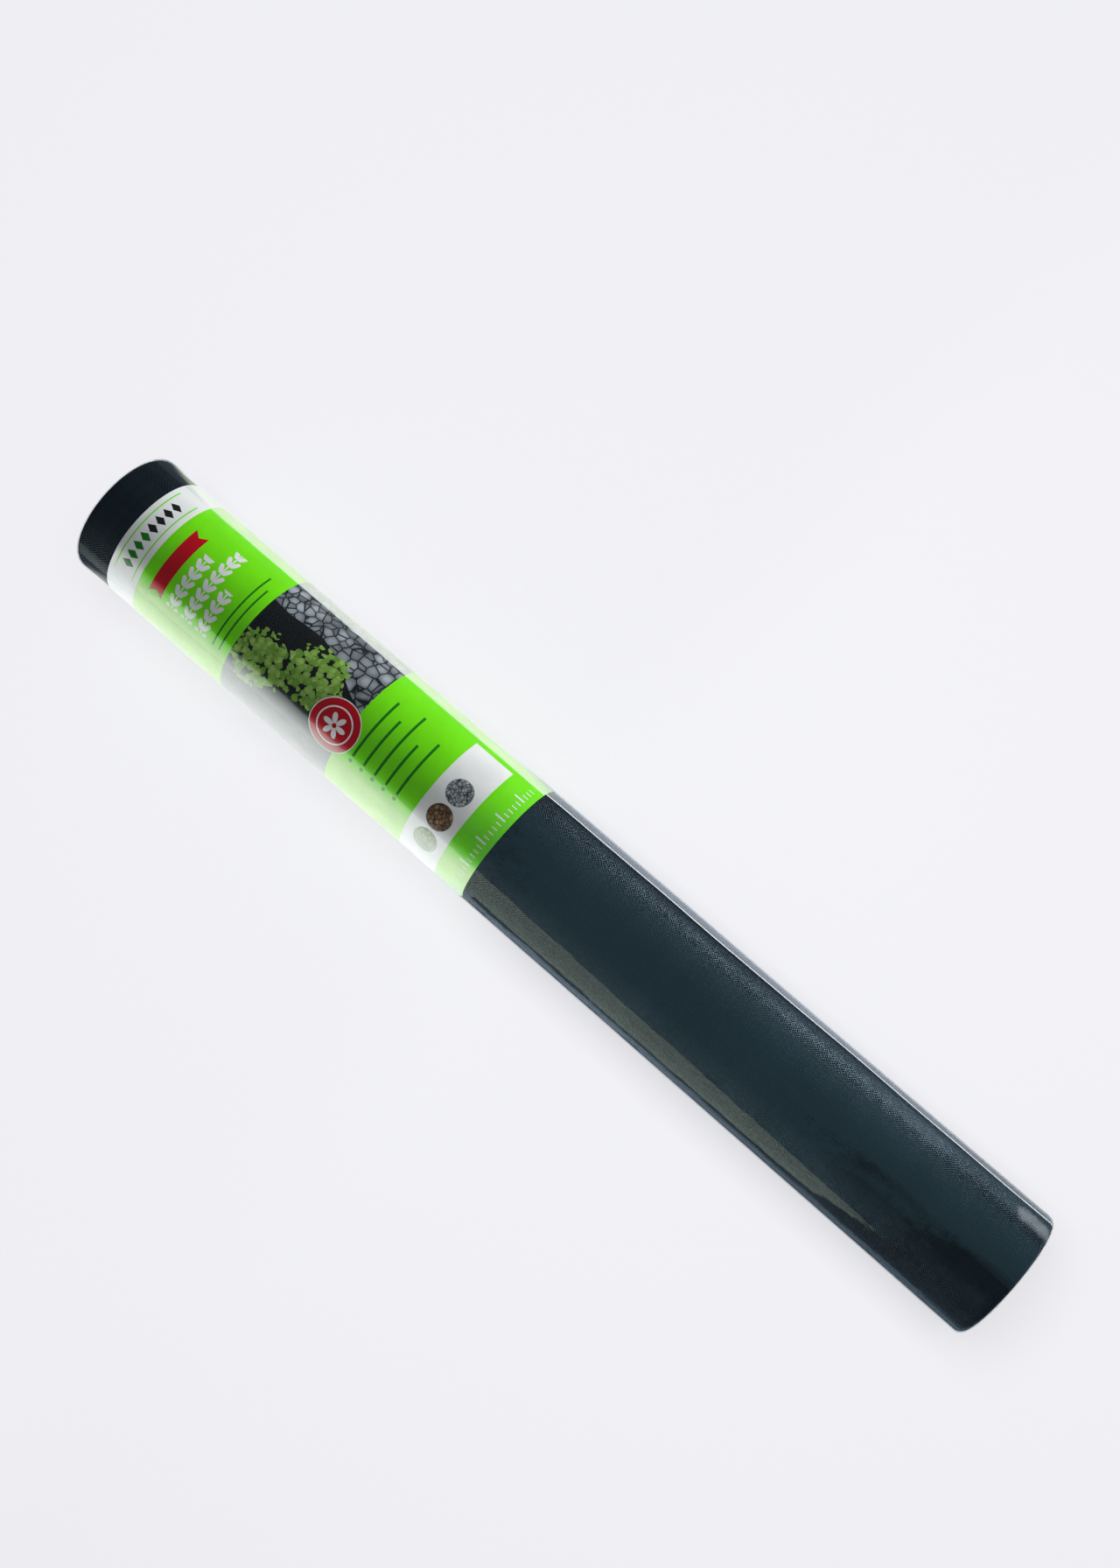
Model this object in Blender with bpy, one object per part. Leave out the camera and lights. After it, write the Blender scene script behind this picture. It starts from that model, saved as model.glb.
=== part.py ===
"""Roll of woven weed control fabric in clear shrink film, modelled as it comes apart.

The roll lies along X with its labelled end at -X. The origin is on the floor, below the middle
of the roll, under the strip where the roll's own weight flattens the film. Angles go round the
roll's axis: zero is straight up and a quarter turn is +Y.
"""
import math

import bmesh
import bpy
from mathutils import Vector

# Driving sizes, in metres
FABRIC_WIDTH = 1.0
CORE_BORE_RADIUS = 0.0381
CORE_WALL = 0.004
CORE_CHAMFER = 0.0006
FABRIC_THICKNESS = 0.0003
TURN_GAP = 0.000445
TAPE_THICKNESS = 0.0002
TAPE_WIDTH = 0.025
TAPE_END_MARGIN = 0.010
LABEL_THICKNESS = 0.0002
LABEL_LENGTH = 0.420
LABEL_WRAP = 0.297
LABEL_END_MARGIN = 0.039
FILM_THICKNESS = 0.0002
FILM_LAP_WIDTH = 0.0045
SHOULDER_RADIUS = 0.006
PLEAT_HEIGHT = 0.0005
FLAT_DEPTH = 0.0005
SEAT_GAP = 0.0003

# Places round the roll, in degrees
TAIL_ANGLE = -36.0
TAIL_SKEW = 4.0
LABEL_ANGLE = 0.0
FILM_LAP_ANGLE = 57.0

# Counts
TURNS = 22
STATIONS_PER_TURN = 36
FILM_STATIONS = 72
CORE_STATIONS = 72
LABEL_STATIONS = 56
TAPE_STATIONS = 6
SHOULDER_STEPS = 4
COLLAR_WAVES = 9
COLLAR_PLEATS = 18
SHARP_EDGE_ANGLE = 35.0

# Place of the collars' edge between the core and the shoulder, and its waves' share of the rest
COLLAR_SHARE = 0.5
COLLAR_WAVE_SHARE = 0.2

# Radii that follow, from the core outwards
CORE_RADIUS = CORE_BORE_RADIUS + CORE_WALL
TAPE_INNER = CORE_RADIUS + SEAT_GAP
TAPE_OUTER = TAPE_INNER + TAPE_THICKNESS
FABRIC_INNER = TAPE_OUTER + SEAT_GAP
TURN_PITCH = FABRIC_THICKNESS + TURN_GAP
FABRIC_OUTER = FABRIC_INNER + FABRIC_THICKNESS + TURNS * TURN_PITCH
LABEL_INNER = FABRIC_OUTER + SEAT_GAP
LABEL_OUTER = LABEL_INNER + LABEL_THICKNESS
FILM_INNER = LABEL_OUTER + SEAT_GAP
FILM_RADIUS = FILM_INNER + FILM_THICKNESS
AXIS_HEIGHT = FILM_RADIUS - FLAT_DEPTH

# Rounded end of the roll: the fabric's edges and the film share its centre
HALF_WIDTH = FABRIC_WIDTH / 2
SHOULDER_X = HALF_WIDTH + SEAT_GAP + FILM_THICKNESS - SHOULDER_RADIUS
SHOULDER_CENTRE_RADIUS = FILM_RADIUS - SHOULDER_RADIUS
FABRIC_SHOULDER = SHOULDER_RADIUS - FILM_THICKNESS - SEAT_GAP
COLLAR_RADIUS = CORE_RADIUS + COLLAR_SHARE * (SHOULDER_CENTRE_RADIUS - CORE_RADIUS)
COLLAR_WAVE_HEIGHT = COLLAR_WAVE_SHARE * (SHOULDER_CENTRE_RADIUS - COLLAR_RADIUS)


def clear_scene():
    for item in list(bpy.data.objects):
        bpy.data.objects.remove(item)


def make_material(name, colour, roughness, alpha=1.0):
    """Plain finish in the photographed colour of one piece."""
    finish = bpy.data.materials.new(name)
    finish.use_nodes = True
    shader = finish.node_tree.nodes["Principled BSDF"]
    shader.inputs["Base Color"].default_value = (*colour, 1)
    shader.inputs["Roughness"].default_value = roughness
    shader.inputs["Metallic"].default_value = 0
    shader.inputs["Alpha"].default_value = alpha
    finish.diffuse_color = (*colour, alpha)
    return finish


def round_point(x, radius, angle):
    """Point at a radius and an angle, in radians, round the roll's axis."""
    return Vector((x, radius * math.sin(angle), radius * math.cos(angle)))


def sweep(name, sections, closed, finish, axis):
    """One solid that joins each section's outline to the next, capped unless it closes."""
    mesh = bmesh.new()
    rows = [[mesh.verts.new(point) for point in section] for section in sections]
    pairs = list(zip(rows, rows[1:]))
    if closed:
        pairs.append((rows[-1], rows[0]))
    else:
        mesh.faces.new(rows[0])
        mesh.faces.new(rows[-1])
    for row, following in pairs:
        for place, corner in enumerate(row):
            before = place - 1
            mesh.faces.new((row[before], corner, following[place], following[before]))
    bmesh.ops.recalc_face_normals(mesh, faces=mesh.faces)
    data = bpy.data.meshes.new(name)
    mesh.to_mesh(data)
    mesh.free()
    data.shade_smooth()
    data.set_sharp_from_angle(angle=math.radians(SHARP_EDGE_ANGLE))
    data.materials.append(finish)
    piece = bpy.data.objects.new(name, data)
    piece.parent = axis
    bpy.context.collection.objects.link(piece)
    return piece


def sheet_section(low_x, high_x, inner, outer, angle):
    """Four corners of a curved sheet's thickness at one angle."""
    return [
        round_point(low_x, outer, angle),
        round_point(high_x, outer, angle),
        round_point(high_x, inner, angle),
        round_point(low_x, inner, angle),
    ]


def build_core(axis):
    """Spiral-wound cardboard tube, plain inside so that a bar runs through it."""
    finish = make_material("cardboard", (0.42, 0.29, 0.17), 0.85)
    inner_lip = CORE_BORE_RADIUS + CORE_CHAMFER
    outer_lip = CORE_RADIUS - CORE_CHAMFER
    inset = HALF_WIDTH - CORE_CHAMFER
    outline = [
        (-inset, CORE_RADIUS),
        (inset, CORE_RADIUS),
        (HALF_WIDTH, outer_lip),
        (HALF_WIDTH, inner_lip),
        (inset, CORE_BORE_RADIUS),
        (-inset, CORE_BORE_RADIUS),
        (-HALF_WIDTH, inner_lip),
        (-HALF_WIDTH, outer_lip),
    ]
    sections = []
    for station in range(CORE_STATIONS):
        angle = math.tau * station / CORE_STATIONS
        sections.append([round_point(x, radius, angle) for x, radius in outline])
    return sweep("core_tube", sections, True, finish, axis)


def fabric_edge(radius):
    """Reach of the fabric's edge from the middle, drawn in round the roll's shoulder."""
    rise = radius - SHOULDER_CENTRE_RADIUS
    if rise <= 0:
        return HALF_WIDTH
    curve = math.sqrt(max(FABRIC_SHOULDER ** 2 - rise ** 2, 0))
    return min(HALF_WIDTH, SHOULDER_X + curve)


def winding_stations():
    """Angle, inner radius and outer radius along the sheet, from the core to its free tail."""
    count = TURNS * STATIONS_PER_TURN
    stations = []
    for station in range(count + 1):
        turned = station / STATIONS_PER_TURN
        angle = math.radians(TAIL_ANGLE) + math.tau * (TURNS - turned)
        inner = FABRIC_INNER + TURN_PITCH * turned
        stations.append((angle, inner, inner + FABRIC_THICKNESS))
    return stations


def distance_to_line(point, start, end):
    along = end - start
    share = max(0, min(1, (point - start).dot(along) / along.length_squared))
    return (point - start - along * share).length


def least_turn_gap(stations):
    """Least clearance from each turn's inner face to the turn below it."""
    inner = [round_point(0, low, angle) for angle, low, high in stations]
    outer = [round_point(0, high, angle) for angle, low, high in stations]
    gaps = []
    for station in range(STATIONS_PER_TURN, len(stations)):
        below = station - STATIONS_PER_TURN
        gaps.append(distance_to_line(inner[station], outer[below], outer[below + 1]))
        gaps.append(distance_to_line(outer[below], inner[station - 1], inner[station]))
    return min(gaps)


def build_fabric(axis):
    """Woven sheet wound on the core in one unbroken spiral, its free tail cut slightly askew."""
    finish = make_material("woven_fabric", (0.012, 0.020, 0.026), 0.45)
    stations = winding_stations()
    sections = []
    for angle, inner, outer in stations:
        reach_in = fabric_edge(inner)
        reach_out = fabric_edge(outer)
        sections.append([
            round_point(-reach_out, outer, angle),
            round_point(reach_out, outer, angle),
            round_point(reach_in, inner, angle),
            round_point(-reach_in, inner, angle),
        ])
    angle, inner, outer = stations[-1]
    reach = fabric_edge(outer)
    skew = math.radians(TAIL_SKEW)
    sections[-1] = [
        round_point(-reach, outer, angle + skew),
        round_point(reach, outer, angle - skew),
        round_point(reach, inner, angle - skew),
        round_point(-reach, inner, angle + skew),
    ]
    gap = least_turn_gap(stations)
    print(f"fabric: {TURNS} turns, pitch {TURN_PITCH * 1000:.3f} mm, least gap {gap * 1000:.3f} mm")
    return sweep("fabric_winding", sections, False, finish, axis)


def build_core_tape(axis):
    """Double-sided tape along the core, under the sheet's first edge."""
    finish = make_material("tape", (0.75, 0.72, 0.62), 0.5)
    span = TAPE_WIDTH / TAPE_OUTER
    reach = HALF_WIDTH - TAPE_END_MARGIN
    sections = []
    for station in range(TAPE_STATIONS + 1):
        angle = math.radians(TAIL_ANGLE) - span * station / TAPE_STATIONS
        sections.append(sheet_section(-reach, reach, TAPE_INNER, TAPE_OUTER, angle))
    return sweep("core_tape", sections, False, finish, axis)


def build_label(axis):
    """Printed paper sheet wrapped round the labelled half, open along the underside."""
    finish = make_material("label_paper", (0.18, 0.62, 0.02), 0.4)
    low_x = -HALF_WIDTH + LABEL_END_MARGIN
    high_x = low_x + LABEL_LENGTH
    span = LABEL_WRAP / LABEL_OUTER
    start = math.radians(LABEL_ANGLE) - span / 2
    sections = []
    for station in range(LABEL_STATIONS + 1):
        angle = start + span * station / LABEL_STATIONS
        sections.append(sheet_section(low_x, high_x, LABEL_INNER, LABEL_OUTER, angle))
    return sweep("label_sheet", sections, False, finish, axis)


def film_outline(offset, angle):
    """Half outline of the film at an offset outside its inner face, middle to collar edge."""
    rounding = SHOULDER_RADIUS - FILM_THICKNESS + offset
    outline = []
    for step in range(SHOULDER_STEPS + 1):
        turn = math.pi / 2 * step / SHOULDER_STEPS
        x = SHOULDER_X + rounding * math.sin(turn)
        radius = SHOULDER_CENTRE_RADIUS + rounding * math.cos(turn)
        outline.append((x, radius))
    wave = COLLAR_WAVE_HEIGHT * math.cos(COLLAR_WAVES * angle)
    pleat = PLEAT_HEIGHT * (1 - math.cos(COLLAR_PLEATS * angle)) / 2
    outline.append((SHOULDER_X + rounding + pleat, COLLAR_RADIUS + wave))
    return outline


def film_section(angle, thickness):
    """Closed outline of the film at one angle, pressed flat where the roll rests."""
    section = []
    for offset, floor in ((thickness, -AXIS_HEIGHT), (0, FILM_THICKNESS - AXIS_HEIGHT)):
        half = film_outline(offset, angle)
        side = [(-x, radius) for x, radius in reversed(half)] + half
        if offset == 0:
            side.reverse()
        for x, radius in side:
            point = round_point(x, radius, angle)
            point.z = max(point.z, floor)
            section.append(point)
    return section


def film_stations():
    """Angles round the film with its thickness there, doubled where its edges lap."""
    lap_start = math.radians(FILM_LAP_ANGLE)
    lap_end = lap_start + FILM_LAP_WIDTH / FILM_RADIUS
    step_angle = FILM_THICKNESS / FILM_RADIUS
    stations = [
        (lap_start - step_angle, FILM_THICKNESS),
        (lap_start, 2 * FILM_THICKNESS),
        (lap_end, 2 * FILM_THICKNESS),
        (lap_end + step_angle, FILM_THICKNESS),
    ]
    spacing = math.tau / FILM_STATIONS
    for station in range(FILM_STATIONS):
        angle = station * spacing
        clear_of_lap = angle < lap_start - spacing / 2 or angle > lap_end + spacing / 2
        if clear_of_lap:
            stations.append((angle, FILM_THICKNESS))
    return sorted(stations)


def build_film(axis):
    """Clear film tube with one welded lap, shrunk over both ends into pleated open collars."""
    finish = make_material("shrink_film", (0.85, 0.9, 0.93), 0.08, alpha=0.25)
    sections = [film_section(angle, thickness) for angle, thickness in film_stations()]
    return sweep("shrink_film", sections, True, finish, axis)


def build_roll():
    clear_scene()
    axis = bpy.data.objects.new("roll_axis", None)
    axis.location = (0, 0, AXIS_HEIGHT)
    bpy.context.collection.objects.link(axis)
    build_core(axis)
    build_core_tape(axis)
    build_fabric(axis)
    build_label(axis)
    build_film(axis)


build_roll()
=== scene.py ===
"""Looks of the roll of woven weed control fabric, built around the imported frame.

The roll lies along X with its labelled end at -X. Lengths are metres and named angles are degrees.
Angles go round the roll's axis: zero is straight up and a quarter turn is +Y.
"""

import math

import bmesh
import bpy
import numpy as np
from mathutils import Euler, Matrix, Vector


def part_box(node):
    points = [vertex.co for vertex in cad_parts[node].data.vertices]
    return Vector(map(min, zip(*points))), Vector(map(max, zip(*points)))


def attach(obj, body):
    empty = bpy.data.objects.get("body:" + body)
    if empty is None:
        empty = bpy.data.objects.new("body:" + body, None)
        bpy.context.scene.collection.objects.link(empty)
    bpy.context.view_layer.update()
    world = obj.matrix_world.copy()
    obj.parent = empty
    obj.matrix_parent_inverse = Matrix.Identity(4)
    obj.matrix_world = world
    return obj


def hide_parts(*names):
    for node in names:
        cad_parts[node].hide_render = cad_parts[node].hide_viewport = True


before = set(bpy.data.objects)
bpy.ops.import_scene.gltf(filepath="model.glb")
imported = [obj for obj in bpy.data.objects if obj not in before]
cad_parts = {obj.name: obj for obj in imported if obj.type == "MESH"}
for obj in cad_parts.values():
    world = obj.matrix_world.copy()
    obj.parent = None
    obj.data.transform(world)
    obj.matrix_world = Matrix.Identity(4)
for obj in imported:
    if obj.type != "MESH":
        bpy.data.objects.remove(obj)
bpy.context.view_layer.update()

# The frame's own sizes
CORE_LOW, CORE_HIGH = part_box("core_tube")
LABEL_LOW, LABEL_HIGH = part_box("label_sheet")
FILM_LOW, FILM_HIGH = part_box("shrink_film")
AXIS_HEIGHT = (CORE_LOW.z + CORE_HIGH.z) / 2
HALF_WIDTH = CORE_HIGH.x
CORE_RADIUS = (CORE_HIGH.y - CORE_LOW.y) / 2
LABEL_START, LABEL_END = LABEL_LOW.x, LABEL_HIGH.x
LABEL_OUTER = (LABEL_HIGH.y - LABEL_LOW.y) / 2
FILM_RADIUS = (FILM_HIGH.y - FILM_LOW.y) / 2

# The camera of the photograph, fitted to the roll's outline
PHOTO_HEIGHT = 1792
CAMERA_X = 0.224
CAMERA_RISE = 1.666
CAMERA_TURN = (-2.34, -9.08, -40.62)
FOCAL_PIXELS = 2255
SENSOR = 36
NEAREST_SEEN = 0.05

# The winding: 12 m of sheet round the core
FABRIC_THICKNESS = 0.0003
REAL_TURNS = 37
CORE_ROOM = 0.0006
LABEL_ROOM = 0.0004
FABRIC_INNER = CORE_RADIUS + CORE_ROOM
FABRIC_OUTER = LABEL_OUTER - LABEL_ROOM
TURN_PITCH = (FABRIC_OUTER - FABRIC_INNER - FABRIC_THICKNESS) / REAL_TURNS
TAIL_ANGLE = -35.0
TAIL_LEAN = -17.0
BRIDGE_ANGLE = 7.0

# How finely it is drawn: its last turn in small facets, the hidden ones in long ones
FINE_TURNS = 1.1
COARSE_STEPS, FINE_STEPS = 72, 200
COARSE_RIM_STEPS, FINE_RIM_STEPS = 3, 8
FINE_COLUMNS = 110

# The drawn-in shoulders at both ends of the roll
SHOULDER = 0.006
BARREL_END = HALF_WIDTH - SHOULDER
EDGE_SQUEEZE = 0.0052
SQUEEZE_LIMIT_SHARE = 0.985
EDGE_RIM = 0.0005

# Unevenness: height, number of waves, least length along the roll, most waves round it, seed
LUMPS = ((0.00022, 7, 0.16, 3, 5), (0.0001, 9, 0.05, 6, 6))
# The same for the turns' edges, with the length counted in turns
EDGE_STRAY = (0.0004, 6, 17 / 9, 2, 8)


# Mesh helpers

# Faces that meet at more than this keep a sharp edge between them
SHARP_ANGLE = 40


def put_on_roll(x, radius, turn):
    """Points on the lying roll from places along it, radii and angles in radians."""
    x, radius, turn = np.broadcast_arrays(x, radius, turn)
    return np.stack([x, radius * np.sin(turn), AXIS_HEIGHT + radius * np.cos(turn)], -1)


def grid_faces(rows, columns, close_columns=False, start=0):
    """Quads of a grid of points, as index rows."""
    row = np.arange(rows - 1)
    column = np.arange(columns if close_columns else columns - 1)
    a, b = np.meshgrid(row, column, indexing="ij")
    after = a + 1
    beside = (b + 1) % columns
    quads = np.stack([a * columns + b, a * columns + beside,
                      after * columns + beside, after * columns + b], -1)
    return quads.reshape(-1, 4) + start


def closed_strip(outer, inner, start=0):
    """Points and faces of a sheet's solid from its outer and inner grids of the same shape."""
    rows, columns = outer.shape[:2]
    points = np.concatenate([outer, inner[:, ::-1]], axis=1)
    faces = grid_faces(rows, 2 * columns, True, start).tolist()
    for row in (0, rows - 1):
        base = start + row * 2 * columns
        for column in range(columns - 1):
            far = 2 * columns - 1 - column
            faces.append([base + column, base + column + 1, base + far - 1, base + far])
    return points.reshape(-1, 3), faces


def add_object(name, data):
    made = bpy.data.objects.new(name, data)
    bpy.context.collection.objects.link(made)
    return made


def make_mesh(name, points, faces, material):
    """A smooth object from points and faces, with its normals made to face outwards."""
    data = bpy.data.meshes.new(name)
    data.from_pydata(points.reshape(-1, 3).tolist(), [], faces)
    piece = add_object(name, data)
    work = bmesh.new()
    work.from_mesh(data)
    bmesh.ops.recalc_face_normals(work, faces=work.faces)
    work.to_mesh(data)
    work.free()
    data.shade_smooth()
    data.set_sharp_from_angle(angle=math.radians(SHARP_ANGLE))
    data.materials.append(material)
    return piece


def waves(x, turn, height, count, long_reach, round_reach, seed):
    """Smooth unevenness in metres, up to a height both ways, and the same on every run."""
    source = np.random.default_rng(seed)
    total = 0
    for _ in range(count):
        along = source.uniform(-1, 1) * math.tau / long_reach
        around = source.integers(-round_reach, round_reach + 1)
        total = total + np.sin(along * x + around * turn + source.uniform(0, math.tau))
    return height * (total / count)


# The shape that every layer follows, with angles in degrees

def tail_angle(x):
    """Angle of the sheet's free tail, which leans a little across the roll."""
    return TAIL_ANGLE + TAIL_LEAN * x


def winding_radius(x, angle):
    """Outside of the winding: one pitch lower just below the tail."""
    past_tail = ((angle - tail_angle(x)) / 360) % 1
    return FABRIC_OUTER - TURN_PITCH * past_tail


def cover_radius(x, angle):
    """The winding's outside as a skin over it lies, bridging the step at the tail."""
    below = (tail_angle(x) - angle) % 360
    bridge = np.clip(1 - below / BRIDGE_ANGLE, 0, 1) ** 2
    return winding_radius(x, angle) + TURN_PITCH * bridge


def end_squeeze(x):
    """How far towards the end's drawn-in rim a place along the roll is, from 0 to 1."""
    share = np.clip((np.abs(x) - BARREL_END) / SHOULDER, 0, SQUEEZE_LIMIT_SHARE)
    return 1 - np.sqrt(1 - share ** 2)


def lumps(x, angle):
    """Slow unevenness of a roll wound by machine and handled since, in metres."""
    return sum(waves(x, np.radians(angle), *row) for row in LUMPS)


# Shader helpers

class Shader:
    """The nodes of a material or world, with short calls that add to them."""

    def __init__(self, owner):
        owner.use_nodes = True
        self.owner = owner
        self.tree = owner.node_tree

    def node(self, kind, **settings):
        made = self.tree.nodes.new(kind)
        for name, value in settings.items():
            setattr(made, name, value)
        return made

    def feed(self, socket, value):
        """Link another node's output to a socket, or set the socket's own value."""
        if isinstance(value, bpy.types.NodeSocket):
            self.tree.links.new(value, socket)
        elif isinstance(value, tuple) and socket.type == "RGBA":
            socket.default_value = (*value, 1)
        else:
            socket.default_value = value

    def fill(self, made, *values):
        """Feed a node's sockets in order, past those whose value is None."""
        for socket, value in zip(made.inputs, values):
            if value is not None:
                self.feed(socket, value)
        return made.outputs[0]

    def named(self, made, **values):
        """Feed a node's sockets by name, with a low line for each space."""
        for name, value in values.items():
            self.feed(made.inputs[name.replace("_", " ")], value)
        return made.outputs[0]

    def set(self, **values):
        self.named(self.tree.nodes["Principled BSDF"], **values)

    def show(self, surface):
        """Put a surface in the place of the material's own shader."""
        self.tree.nodes.remove(self.tree.nodes["Principled BSDF"])
        self.feed(self.tree.nodes["Material Output"].inputs["Surface"], surface)

    def math(self, operation, a, b=None, c=None, clamp=False):
        return self.fill(self.node("ShaderNodeMath", operation=operation, use_clamp=clamp), a, b, c)

    def times(self, first, *others):
        for other in others:
            first = self.math("MULTIPLY", first, other)
        return first

    def times_plus(self, value, factor, added):
        return self.math("MULTIPLY_ADD", value, factor, added)

    def minus(self, value, taken):
        return self.math("SUBTRACT", value, taken)

    def off(self, value, middle):
        """Distance to either side of a middle."""
        return self.math("ABSOLUTE", self.minus(value, middle))

    def less(self, value, than):
        return self.math("LESS_THAN", value, than)

    def more(self, value, than):
        return self.math("GREATER_THAN", value, than)

    def arch(self, share):
        """Rounded rise across a width, from 0 at both edges to 1 in the middle."""
        return self.times(share, self.minus(1, share), 4)

    def range(self, value, low, high, to_low=0.0, to_high=1.0):
        """Smooth step between two values as the given one goes from low to high."""
        made = self.node("ShaderNodeMapRange", interpolation_type="SMOOTHSTEP")
        return self.fill(made, value, low, high, to_low, to_high)

    def choose(self, pick, first, second):
        """The first value where the pick is 0 and the second where it is 1."""
        return self.fill(self.node("ShaderNodeMix"), pick, None, first, second)

    def mix(self, share, first, second):
        """From the first colour to the second as the share goes from 0 to 1."""
        made = self.node("ShaderNodeMix", data_type="RGBA")
        for index, value in ((0, share), (6, first), (7, second)):
            self.feed(made.inputs[index], value)
        return made.outputs[2]

    def noise(self, vector, scale, detail=2.0):
        return self.named(self.node("ShaderNodeTexNoise"), Vector=vector, Scale=scale, Detail=detail)

    def white_noise(self, value):
        return self.named(self.node("ShaderNodeTexWhiteNoise", noise_dimensions="1D"), W=value)

    def combine(self, x, y, z=0.0):
        return self.fill(self.node("ShaderNodeCombineXYZ"), x, y, z)

    def parts(self, value, kind="XYZ"):
        made = self.node("ShaderNodeSeparate" + kind)
        self.feed(made.inputs[0], value)
        return made.outputs

    def length(self, vector):
        made = self.node("ShaderNodeVectorMath", operation="LENGTH")
        self.feed(made.inputs[0], vector)
        return made.outputs["Value"]

    def bump(self, height, strength, distance, under=None):
        made = self.node("ShaderNodeBump")
        if under is not None:
            self.feed(made.inputs["Normal"], under)
        return self.named(made, Height=height, Strength=strength, Distance=distance)

    def diffuse(self, colour):
        return self.named(self.node("ShaderNodeBsdfDiffuse"), Color=colour)

    def emission(self, colour):
        return self.named(self.node("ShaderNodeEmission"), Color=colour)

    def blend(self, share, first, second):
        return self.fill(self.node("ShaderNodeMixShader"), share, first, second)

    def roll_place(self):
        """Place along the roll, angle round it in turns from -0.5 to 0.5, and place in space."""
        place = self.node("ShaderNodeTexCoord").outputs["Object"]
        x, y, z = self.parts(place)
        angle = self.math("ARCTAN2", y, self.minus(z, AXIS_HEIGHT))
        return x, self.math("DIVIDE", angle, math.tau), place

    def roll_radius(self, place):
        """Distance from the roll's axis."""
        _, y, z = self.parts(place)
        return self.length(self.combine(y, self.minus(z, AXIS_HEIGHT)))

    def degrees(self, turns):
        return self.times(turns, 360)


def new_shader(name):
    return Shader(bpy.data.materials.new(name))


# Woven fabric

TAPE_WIDTH = 0.0012
TAPES_AROUND = 2 * round(math.pi * FABRIC_OUTER / TAPE_WIDTH)
TAPE_FLATNESS = 0.25
STREAK_STRETCH = 9.0
WEFT_OFFSET = 0.37
SIDE_FADE = (22, 40)
CUT_EDGE = 0.0014
WEAVE_RELIEF = 0.00009
STREAK_RELIEF = 0.00006
TAPE_ROUGHNESS, ROUGHNESS_SPREAD = 0.28, 0.06
TOP_GLOSS = 0.3
# Angles between which the gloss on the right weakens, and places between which that ends
LOW_FADE = (46, 56)
BARE_END_FADE = (0.22, 0.42)

TAPE_DARK = (0.0036, 0.0074, 0.0105)
TAPE_LIGHT = (0.007, 0.013, 0.0175)
TAPE_GAP = (0.0015, 0.0025, 0.0035)
TAPE_DUSTY = (0.0085, 0.016, 0.0205)
TURN_DARK = (0.002, 0.003, 0.004)
TURN_LIGHT = (0.022, 0.038, 0.045)


def side_share(shader, turns):
    """From 0 on top of the roll to 1 at its sides, where the tapes stand out most."""
    return shader.range(shader.math("ABSOLUTE", shader.degrees(turns)), *SIDE_FADE)


def weave(shader, along, turns):
    """Plain weave of flat tapes, as a dictionary of what its users need."""
    maths = shader.math
    u = maths("DIVIDE", along, TAPE_WIDTH)
    v = shader.times(turns, TAPES_AROUND)
    warp = maths("FLOOR", u)
    weft = maths("FLOOR", v)
    weft_over = maths("PINGPONG", maths("ADD", warp, weft), 1)
    arch_u = shader.arch(maths("FRACT", u))
    arch_v = shader.arch(maths("FRACT", v))
    warp_height = shader.times(arch_v, maths("POWER", arch_u, TAPE_FLATNESS))
    weft_height = shader.times(arch_u, maths("POWER", arch_v, TAPE_FLATNESS))
    height = shader.choose(weft_over, warp_height, weft_height)
    random = shader.node("ShaderNodeTexWhiteNoise", noise_dimensions="2D")
    crossing = shader.named(random, Vector=shader.combine(warp, weft))
    return {"u": u, "v": v, "warp": warp, "weft": weft, "weft_over": weft_over,
            "height": height, "crossing": crossing}


def own_tones(shader, woven):
    """A random value for each tape, and fine streaks along the tapes."""
    u, v = woven["u"], woven["v"]
    own_weft = shader.white_noise(shader.math("ADD", woven["weft"], WEFT_OFFSET))
    own = shader.choose(woven["weft_over"], shader.white_noise(woven["warp"]), own_weft)
    streak_u = shader.noise(shader.combine(shader.times(u, STREAK_STRETCH), v), 1.0)
    streak_v = shader.noise(shader.combine(u, shader.times(v, STREAK_STRETCH)), 1.0)
    return own, shader.choose(woven["weft_over"], streak_u, streak_v)


def tape_colour(shader, own, height, place):
    """Black tapes of unlike tones with darker gaps, a little dusty in patches."""
    tone = shader.mix(own, TAPE_DARK, TAPE_LIGHT)
    tone = shader.mix(shader.range(height, 0.0, 0.35), TAPE_GAP, tone)
    cloud = shader.noise(place, 9.0, 3.0)
    return shader.mix(shader.range(cloud, 0.35, 0.7, 0.0, 0.3), tone, TAPE_DUSTY)


def turn_rings(shader, turns, place):
    """Uneven rings of the sheet's edges on both ends, which follow its spiral."""
    outward = shader.times_plus(turns, -TURN_PITCH, shader.roll_radius(place))
    return shader.noise(shader.combine(shader.times(outward, 900.0), turns), 1.0)


def tape_gloss(shader, height, weft_over, along, turns, place):
    """Gloss in patches and clumps: on the warp's crowns at the sides, an even one on top."""
    side = side_share(shader, turns)
    crown = shader.choose(weft_over, shader.range(height, 0.45, 0.85), 0.0)
    crown = shader.choose(side, TOP_GLOSS, crown)
    patches = shader.range(shader.noise(place, 14.0), 0.35, 0.65, 0.75, 1.25)
    clumps = shader.range(shader.noise(place, 260.0, 1.0), 0.3, 0.7, 0.8, 1.25)
    uneven = shader.times(patches, shader.choose(side, 1.0, clumps))
    low_down = shader.range(shader.degrees(turns), *LOW_FADE, 1.0, 0.45)
    low_down = shader.choose(shader.range(along, *BARE_END_FADE), low_down, 1.0)
    return shader.times(crown, shader.times(uneven, low_down))


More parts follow.
